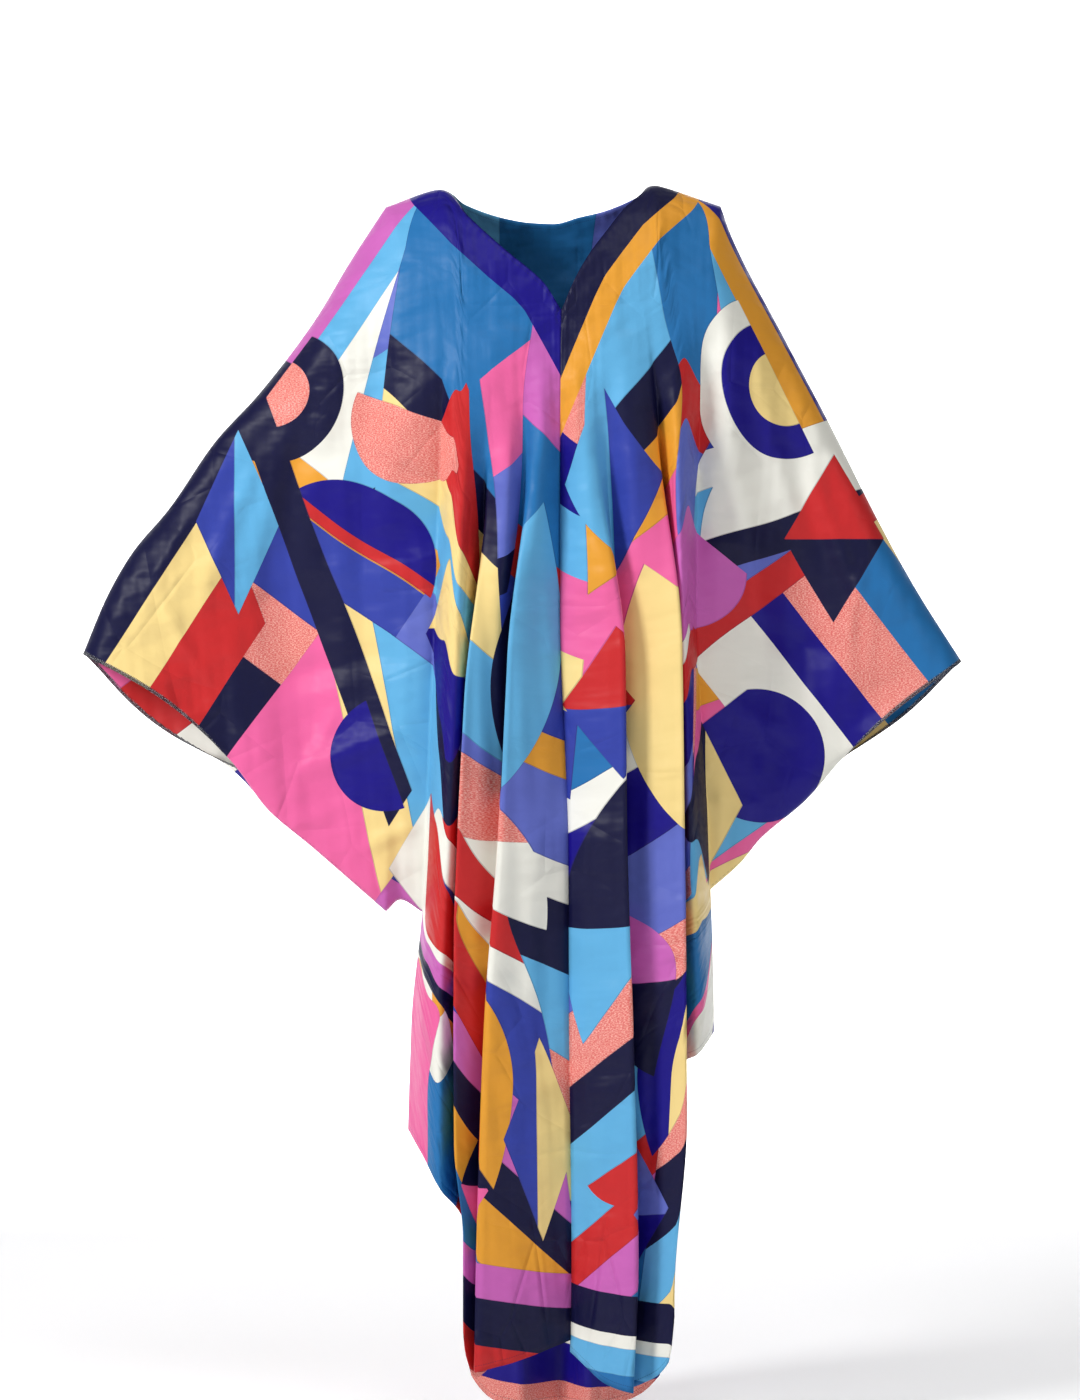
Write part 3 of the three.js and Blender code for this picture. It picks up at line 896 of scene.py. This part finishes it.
class Print:
    """Draws fields of colour over each other on the flat cut."""

    def __init__(self, paint, cut, neck):
        self.paint = paint
        self.neck = paint.split(neck)[0] * 100
        self.across, self.down = [metres * 100 for metres in paint.split(cut)]
        joined = paint.node("ShaderNodeCombineXYZ", None, i0=self.across, i1=self.down)
        self.place = joined.outputs[0]
        self.colour = None

    def toward(self, degrees):
        """How far a point lies in a direction: 0 is outwards, 90 is down."""
        c, s = math.cos(math.radians(degrees)), math.sin(math.radians(degrees))
        return self.paint.maths("MULTIPLY_ADD", self.across, c, self.down * s)

    def away(self, across, down):
        return self.paint.distance(self.place, (across, down, 0))

    def mask(self, shape):
        kind, *numbers = shape
        if kind == "past":
            return self.toward(numbers[0]) > numbers[1]
        if kind == "disc":
            return self.away(*numbers[:2]) < numbers[2]
        if kind == "band":
            return self.paint.between(self.toward(numbers[0]), *numbers[1:])
        if kind == "neck":
            return self.paint.between(self.neck, *numbers)
        if kind == "leaf":
            across, down, half_wide, half_long, lean = numbers
            radius = (half_wide**2 + half_long**2) / (2 * half_wide)
            c, d = math.cos(math.radians(lean)), math.sin(math.radians(lean))
            reach = radius - half_wide
            one = self.away(across + reach * c, down + reach * d) < radius
            return one * (self.away(across - reach * c, down - reach * d) < radius)
        if kind == "kite":
            across, down, half_wide, half_long = numbers
            aside = self.paint.maths("ABSOLUTE", self.across - across) / half_wide
            below = self.paint.maths("ABSOLUTE", self.down - down) / half_long
            return (aside + below) < 1.0
        raise ValueError(kind)

    def fill(self, what):
        if isinstance(what, str):
            return DYE[what]
        kind, *rest = what
        value = self.toward(rest[0]) if kind == "stripes" else self.away(*rest[0])
        ramp, place = {"stops": stops(rest[1])}, (value - RAMP_FROM) / RAMP_SPAN
        return self.paint.node("ShaderNodeValToRGB", ramp, i0=place).outputs[0]

    def field(self, shapes, what):
        colour = self.fill(what)
        if not shapes:
            self.colour = colour
            return
        mask = self.mask(shapes[0])
        for shape in shapes[1:]:
            mask = mask * self.mask(shape)
        self.colour = self.paint.mix(self.colour, colour, mask)


# %% [markdown]
# Each panel begins with four or five upright strips that are filled with slanting
# stripes. The sleeves have larger fields, and then leaves, kites and discs are laid over
# the folds. A row is the shapes whose overlap is the field, and its fill. The shapes are
# past (direction, distance), band (direction, from, to), neck (from, to), disc (across,
# down, radius), kite (across, down, half width, half length) and leaf (the same and its
# lean). The fills are a colour, stripes (direction) or rings (centre), and these two have
# colours with the place between each two of them.

# %% Fields of the three panels
LEFT_FIELDS = [
    ([], ("stripes", 58,
     "orchid 27 blue 39 red 44 cobalt 56 orange 60 periwinkle 68 white 72 navy 79 sky 88 "
     "coral 95 straw 102 royal 108 pink 115 periwinkle 124 navy")),
    ([("past", -7, 3.5)], ("stripes", 124,
     "blue 12 pink 22 periwinkle 31 navy 35 cobalt 46 orange 51 blue 61 pink 68 royal 77 "
     "white 81 sky 89 red 94 cobalt 103 orchid 110 royal")),
    ([("past", 8, 17)], ("stripes", 50,
     "blue 36 navy 42 straw 50 sky 58 periwinkle 67 red 73 white 77 cobalt 87 orchid 94 navy "
     "99 orange 105 blue 116 coral")),
    ([("past", -5, 27)], ("stripes", 118,
     "periwinkle 8 sky 22 navy 29 coral 40 royal 48 pink 58 cobalt 66 orange 70 white 75 "
     "blue 86 red 91 royal")),
    # the sleeve: a white ground inside borders, steps towards the cuff
    ([("past", -14, 24)], ("stripes", -33, "periwinkle 5 white 15 sky 19.5 orchid")),
    ([("past", -33, -8), ("past", 53, 55)], ("stripes", 53, "orange 60 cobalt 70 coral 78 navy")),
    ([("past", -33, 6), ("past", 20, 62)], ("stripes", -33, "red 13 straw 19 blue")),
    ([("past", 53, 66), ("past", 143, 5), ("past", 323, -30)], ("stripes", 12,
     "navy 36 sky 43 straw 49 pink")),
    ([("past", -33, 19.3), ("past", 53, 46)], "navy"),
    ([("disc", 44, 30, 9), ("past", 147, -20.6)], ("rings", (44, 30), "coral 4.5 navy")),
    ([("disc", 36, 52, 11), ("past", 233, -60)], ("stripes", 53, "royal 58 red 63 royal")),
    ([("kite", 48, 46, 5, 11)], ("stripes", 0, "sky 48 cobalt")),
    ([("past", 20, 52.5), ("past", 200, -56.5), ("past", -33, -20)], "navy"),
    # leaves, kites and wedges over the folds
    ([("leaf", 13, 100, 5, 19, 8)], ("stripes", 0, "orange 12.5 red")),
    ([("leaf", 5, 56, 5, 18, -6)], ("stripes", 0, "sky 5 navy")),
    ([("kite", 21, 60, 5, 11)], ("stripes", 90, "straw 59 royal")),
    ([("leaf", 8, 78, 4, 12, 30)], ("stripes", 90, "coral 78 white")),
    ([("kite", 24, 88, 6, 10)], ("stripes", 0, "red 24 white")),
    ([("kite", 4, 113, 5, 12)], ("stripes", 0, "straw 4 cobalt")),
    ([("kite", 16, 37, 8, 12), ("past", 0, 15.5)], "red"),
    ([("disc", 26, 34, 8), ("past", 70, 40)], "coral"),
    ([("disc", 30, 74, 7), ("past", 20, 54)], "royal"),
    ([("kite", 17, 119, 6, 9)], ("stripes", 90, "navy 118 pink")),
    ([("past", 82, 128)], ("stripes", 82, "orchid 132 navy 137 red 142 coral")),
    ([("neck", 0, 3.8)], "royal"),
]
RIGHT_FIELDS = [
    ([], ("stripes", 116,
     "coral 26 royal 34 sky 41 pink 50 straw 56 cobalt 65 white 69 orange 74 blue 84 navy 89 "
     "red 96 straw 104 periwinkle 113 orchid")),
    ([("past", 6, 8)], ("stripes", 54,
     "sky 28 navy 34 orange 41 pink 50 blue 58 white 62 royal 70 periwinkle 79 coral 86 navy "
     "92 sky 101 red 106 orchid 111 blue 121 orange")),
    ([("past", -6, 17)], ("stripes", 126,
     "blue 8 red 14 periwinkle 24 royal 31 orchid 38 straw 46 sky 52 navy 57 pink 65 cobalt "
     "74 orange 79 white 83 blue 93 royal")),
    ([("past", 5, 29)], ("stripes", 62,
     "pink 34 cobalt 43 white 48 sky 57 red 63 coral 74 royal 80 pink 89 straw 96 blue 104 "
     "coral 112 navy 120 sky 127 straw")),
    # the sleeve
    ([("past", -8, 25)], ("stripes", -27, "blue 2 pink 12 sky 18 orange 21.5 royal")),
    ([("past", 8, 33), ("past", 70, 44), ("past", 232, -84)], ("stripes", 70,
     "white 53 navy 57 periwinkle 66 orange 71 pink 79 sky")),
    ([("past", 52, 62), ("past", -38, -18)], ("stripes", -38,
     "white -9 royal -4 coral 3 blue 9 straw")),
    ([("band", 52, 60, 63.5), ("past", -38, -24)], "red"),
    ([("disc", 36, 28, 12), ("past", 153, -19)], ("rings", (36, 28), "straw 4 royal 8 white")),
    ([("kite", 42, 46, 6, 10)], ("stripes", 90, "red 46 navy")),
    ([("disc", 33, 72, 8), ("past", 52, 70)], "royal"),
    # leaves, kites and wedges over the folds
    ([("leaf", 14, 64, 5, 18, -8)], ("stripes", 0, "straw 14 red")),
    ([("leaf", 4, 86, 4.5, 16, 7)], ("stripes", 90, "navy 88 sky")),
    ([("leaf", 21, 100, 5, 16, 10)], ("stripes", 0, "royal 20 straw")),
    ([("kite", 8, 36, 7, 12)], ("stripes", 0, "sky 8 cobalt")),
    ([("kite", 26, 78, 5, 10)], ("stripes", 0, "navy 26 straw")),
    ([("disc", 8, 114, 7), ("past", 60, 104)], "red"),
    ([("leaf", 12, 96, 4, 12, -30)], ("stripes", 90, "orchid 95 navy")),
    ([("kite", 15, 122, 6, 9)], ("stripes", 90, "periwinkle 122 royal")),
    ([("disc", 25, 50, 7), ("past", 130, 18)], "orchid"),
    ([("kite", 5, 62, 5, 9)], ("stripes", 90, "red 62 cobalt")),
    ([("past", 98, 129)], ("stripes", 98, "navy 133 white 135 sky 138 blue 142 coral")),
    ([("neck", 3.0, 5.6)], "orange"),
    ([("neck", 0, 3.0)], "navy"),
]
BACK_FIELDS = [
    ([], ("stripes", 58,
     "blue 12 pink 24 royal 34 sky 46 white 52 navy 62 coral 76 cobalt 90 straw 98 blue 110 "
     "red 122 orchid")),
    ([("past", 6, 7)], ("stripes", 122,
     "periwinkle 12 navy 20 orange 30 pink 44 blue 54 royal 68 sky 80 red 86 cobalt 100 "
     "white 106 coral")),
    ([("past", 186, 9)], ("stripes", 56,
     "sky 12 coral 24 navy 32 straw 44 cobalt 60 pink 70 orange 76 blue 92 royal 102 white")),
    ([("past", -6, 19)], ("stripes", 52,
     "pink 34 white 40 royal 52 sky 64 straw 76 navy 84 periwinkle 98 red 106 blue 120 "
     "orange")),
    ([("past", 174, 21)], ("stripes", 128,
     "cobalt 34 sky 44 red 50 white 60 blue 72 orchid 82 navy 90 orange 98 cobalt 112 pink")),
    # the sleeves
    ([("past", 8, 36), ("past", 233, -88)], ("stripes", -30,
     "navy 4 white 12 royal 17 coral 22 sky")),
    ([("past", 172, 36), ("past", 307, -88)], ("stripes", 210,
     "periwinkle 4 straw 14 orange 18 blue 23 navy")),
    ([("past", 53, 64), ("past", 0, 20), ("past", -37, -36)], ("stripes", -37,
     "sky -20 navy -10 straw -2 blue 6 royal 12 white")),
    ([("past", 127, 64), ("past", 180, 20), ("past", 217, -36)], ("stripes", 53,
     "pink 14 red 22 white 30 royal 38 orange")),
    ([("disc", -38, 34, 12), ("past", 60, 4)], ("rings", (-38, 34), "red 6 navy")),
    ([("disc", 38, 38, 12), ("past", 120, 4)], ("rings", (38, 38), "straw 5 royal")),
    # leaves and kites over the folds
    ([("leaf", 0, 52, 8, 28, 6)], ("stripes", 0, "orange 0 navy")),
    ([("leaf", -16, 84, 6, 24, -8)], ("stripes", 0, "straw -16 red")),
    ([("leaf", 18, 90, 6, 24, 8)], ("stripes", 90, "royal 92 sky")),
    ([("kite", 2, 104, 8, 16)], ("stripes", 0, "sky 2 coral")),
    ([("past", 92, 136)], ("stripes", 92, "white 140 royal 145 coral")),
]
print(len(LEFT_FIELDS) + len(RIGHT_FIELDS) + len(BACK_FIELDS), "fields of colour")

# %% [markdown]
# ## The satin
#
# Satin twill has long floats, so it is smooth with a broad soft shine and a fine diagonal
# rib. The coral fields are heathered: they are printed with small flecks. Where two
# colours meet the print has a thin dark line. It is found by drawing the print twice, a
# millimetre apart, and comparing the colours. The inside of the cloth shows the same
# print, paler. Creases finer than the mesh are bump: sharp ones that run between cells
# and soft ones that are noise drawn out along four directions.


# %% A print as a node group
def print_group(name, fields):
    group = bpy.data.node_groups.new(name, "ShaderNodeTree")
    group.interface.new_socket("Cut", in_out="INPUT", socket_type="NodeSocketVector")
    group.interface.new_socket("Neck", in_out="INPUT", socket_type="NodeSocketVector")
    group.interface.new_socket("Color", in_out="OUTPUT", socket_type="NodeSocketColor")
    paint = Paint(group)
    source = group.nodes.new("NodeGroupInput")
    sink = group.nodes.new("NodeGroupOutput")
    design = Print(paint, source.outputs[0], source.outputs[1])
    for shapes, what in fields:
        design.field(shapes, what)
    paint.join(sink.inputs[0], design.colour)
    return group


# %% Numbers of the satin
PRINT_SHIFT = (0.0009, 0.0007, 0)  # metres between the two prints that are compared
LINE, LINE_DARK = (0.02, 0.015, 0.05, 1), 0.35
FLECKS = (420, 1250, 1)  # flecks per metre across and down
OVERLOCK, OVERLOCK_PITCH, OVERLOCK_WAVE = 0.0045, 0.0028, 0.0007  # metres, as all below
HEM_STITCH, STITCH_PITCH, STITCH_HALF = 0.007, 0.0032, 0.0005
RIB_PITCH, RIB_HIGH, GRAIN_HIGH = 0.0016, 0.000012, 0.00004
GATHER_PITCH, GATHER_HIGH, GATHER_LONG = 0.017, 0.0003, 0.02
RIM_SLOPE = 0.12  # the turned rim is thinner towards its edge
OUTSIDE, INSIDE = (0.42, 0.12), (0.6, 0.1)  # roughness, and how much the grain adds
SHARP_CREASES = [
    # cells per metre, width as a share of a cell, depth
    (4.2, 0.02, 0.0011),
    (9.5, 0.04, 0.0009),
]
SOFT_CREASES = [
    # degrees from the cut's width, waves per metre across and along, height
    (62, 24, 5, 0.0120),
    (112, 30, 6, 0.0085),
    (4, 42, 5, 0.0060),
    (86, 64, 20, 0.0030),
]


# %% Colour of the cloth
def dyed(paint, group, cut, reverse):
    """The print with its dark lines, flecked coral and slightly uneven dye."""
    neck = paint.node("ShaderNodeUVMap", {"uv_map": "neck"}).outputs[0]
    looks = []
    for shift in ((0, 0, 0), PRINT_SHIFT):
        moved = paint.vector("ADD", cut, shift)[0]
        look = paint.node("ShaderNodeGroup", {"node_tree": group}, i0=moved, i1=neck)
        looks.append(look.outputs[0])
    colour = paint.mix(looks[0], LINE, (paint.distance(*looks) > 0.02) * LINE_DARK)
    flecks = paint.noise(paint.vector("MULTIPLY", cut, FLECKS)[0], 1.0, 2.0)
    coral = paint.distance(looks[0], DYE["coral"][:3]) < 0.05
    colour = paint.mix(colour, rgb(252, 205, 190), coral * (flecks > 0.53) * 0.55)
    colour = paint.mix(colour, rgb(214, 90, 86), coral * (flecks < 0.43) * 0.35)
    cloudy = paint.noise(cut, 9.0, 3.0)
    colour = paint.mix(colour, rgb(255, 255, 255), cloudy * 0.05, "SOFT_LIGHT")
    return paint.mix(colour, rgb(236, 232, 240), 0.45) if reverse else colour


def sewn(paint, colour, cut, rim, cuff):
    """Overlocked cuffs with a few glints, grey flecks that are painted highlights, and stitches
    inside the other edges.
    """
    u, v = paint.split(cut)
    thread = paint.maths("SINE", (u - v) * (CIRCLE / OVERLOCK_PITCH)) * OVERLOCK_WAVE
    overlock = (cuff + thread) < OVERLOCK
    # random spots on the overlock where the painted highlights go
    painted_glints = paint.noise(cut, 900.0, 0.0) > 0.58
    stitched = paint.maths("COMPARE", rim, HEM_STITCH, STITCH_HALF)
    dashes = paint.maths("SINE", (u + v * 0.31) * (CIRCLE / STITCH_PITCH)) > -0.4
    colour = paint.mix(colour, rgb(24, 22, 34), overlock * 0.92)
    # painted highlights: grey flecks that stand in for glints of light on the thread
    colour = paint.mix(colour, rgb(172, 174, 180), overlock * painted_glints * 0.6)
    return paint.mix(colour, rgb(30, 28, 60), stitched * dashes * 0.45)


# %% Creases and rib
def relief(paint, cut, rim, grain):
    """Height of the twill's rib, the creases and the gathers along the rim."""
    u, v = paint.split(cut)
    rib = paint.maths("SINE", (u + v * 0.6) * (CIRCLE / RIB_PITCH))
    height = rib * RIB_HIGH + grain * GRAIN_HIGH
    warp = paint.node("ShaderNodeTexNoise", None, Vector=cut, Scale=4.0, Detail=0.0)
    bent = paint.vector("MULTIPLY_ADD", warp.outputs["Color"], (0.04, 0.04, 0), cut)[0]
    patchy = paint.noise(cut, 6.0, 1.0)
    gate = paint.maths("MAXIMUM", patchy - 0.42, 0.0) * 5.0
    settings = {"feature": "DISTANCE_TO_EDGE"}
    for scale, wide, deep in SHARP_CREASES:
        cells = paint.node("ShaderNodeTexVoronoi", settings, Vector=bent, Scale=scale)
        edge = Value(paint, cells.outputs["Distance"]) / wide
        height = height + paint.maths("SMOOTH_MIN", edge, 1.0, 0.6) * gate * deep
    for angle, across, along, deep in SOFT_CREASES:
        c, d = math.cos(math.radians(angle)), math.sin(math.radians(angle))
        places = {"i0": (u * c + v * d) * across, "i1": (v * c - u * d) * along}
        drawn = paint.node("ShaderNodeCombineXYZ", None, **places).outputs[0]
        height = height + paint.noise(drawn, 1.0, 1.0) * (patchy * deep)
    pucker = paint.maths("SMOOTH_MIN", rim, GATHER_LONG, 0.01) * (-1 / GATHER_LONG) + 1.0
    gathers = paint.maths("SINE", (u - v * 0.7) * (CIRCLE / GATHER_PITCH) + patchy * 9)
    height = height + gathers * GATHER_HIGH * pucker
    return height + paint.maths("SMOOTH_MIN", rim, HEM_STITCH, 0.002) * RIM_SLOPE


def satin(name, group, reverse):
    material = bpy.data.materials.new(name)
    material.use_nodes = True
    shader = material.node_tree.nodes["Principled BSDF"]
    paint = Paint(material.node_tree)
    cut = paint.node("ShaderNodeUVMap", {"uv_map": "cut"}).outputs[0]
    edges = paint.node("ShaderNodeUVMap", {"uv_map": "edges"}).outputs[0]
    rim, cuff = paint.split(edges)
    colour = sewn(paint, dyed(paint, group, cut, reverse), cut, rim, cuff)
    paint.join(shader.inputs["Base Color"], colour)
    grain = paint.noise(cut, 160.0, 0.0)
    base, added = INSIDE if reverse else OUTSIDE
    paint.join(shader.inputs["Roughness"], grain * added + base)
    height = relief(paint, cut, rim, grain)
    bump = paint.node("ShaderNodeBump", None, Height=height, Strength=1.0, Distance=1.0)
    paint.join(shader.inputs["Normal"], bump.outputs[0])
    shader.inputs["Specular IOR Level"].default_value = 0.22
    shader.inputs["Anisotropic"].default_value = 0.3
    return material


# %% Materials on the panels
DESIGNS = [
    (front_left, "left front", LEFT_FIELDS),
    (front_right, "right front", RIGHT_FIELDS),
    (back, "back", BACK_FIELDS),
]
for panel, name, fields in DESIGNS:
    group = print_group(f"print of the {name}", fields)
    panel.data.materials.append(satin(f"satin of the {name}", group, False))
    panel.data.materials.append(satin(f"inside of the {name}", group, True))
    print(name, "print:", len(group.nodes), "nodes")

# %% [markdown]
# ## Each panel in place of its solid
#
# Each panel stands for its solid, which is hidden, and rides on the one rigid body of the
# part. Its flat cut is not a rectangle, though the table gives it as a width and a length.
# That area is read from the hung mesh itself and not from a pattern, and is held to the
# rectangle's at most. A comparison of the two comes out at 1 for every mesh smaller than
# its rectangle, so it proves nothing about the cut.

# %% Pieces, their solids and cuts
PANELS = [
    # panel, node, slot, cut width and length
    (front_left, "front_left", "front_left_cloth", (0.64, 1.45)),
    (front_right, "front_right", "front_right_cloth", (0.60, 1.45)),
    (back, "back", "back_cloth", (1.24, 1.50)),
]
for panel, node, slot, flat in PANELS:
    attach(panel, "root")
    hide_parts(node)
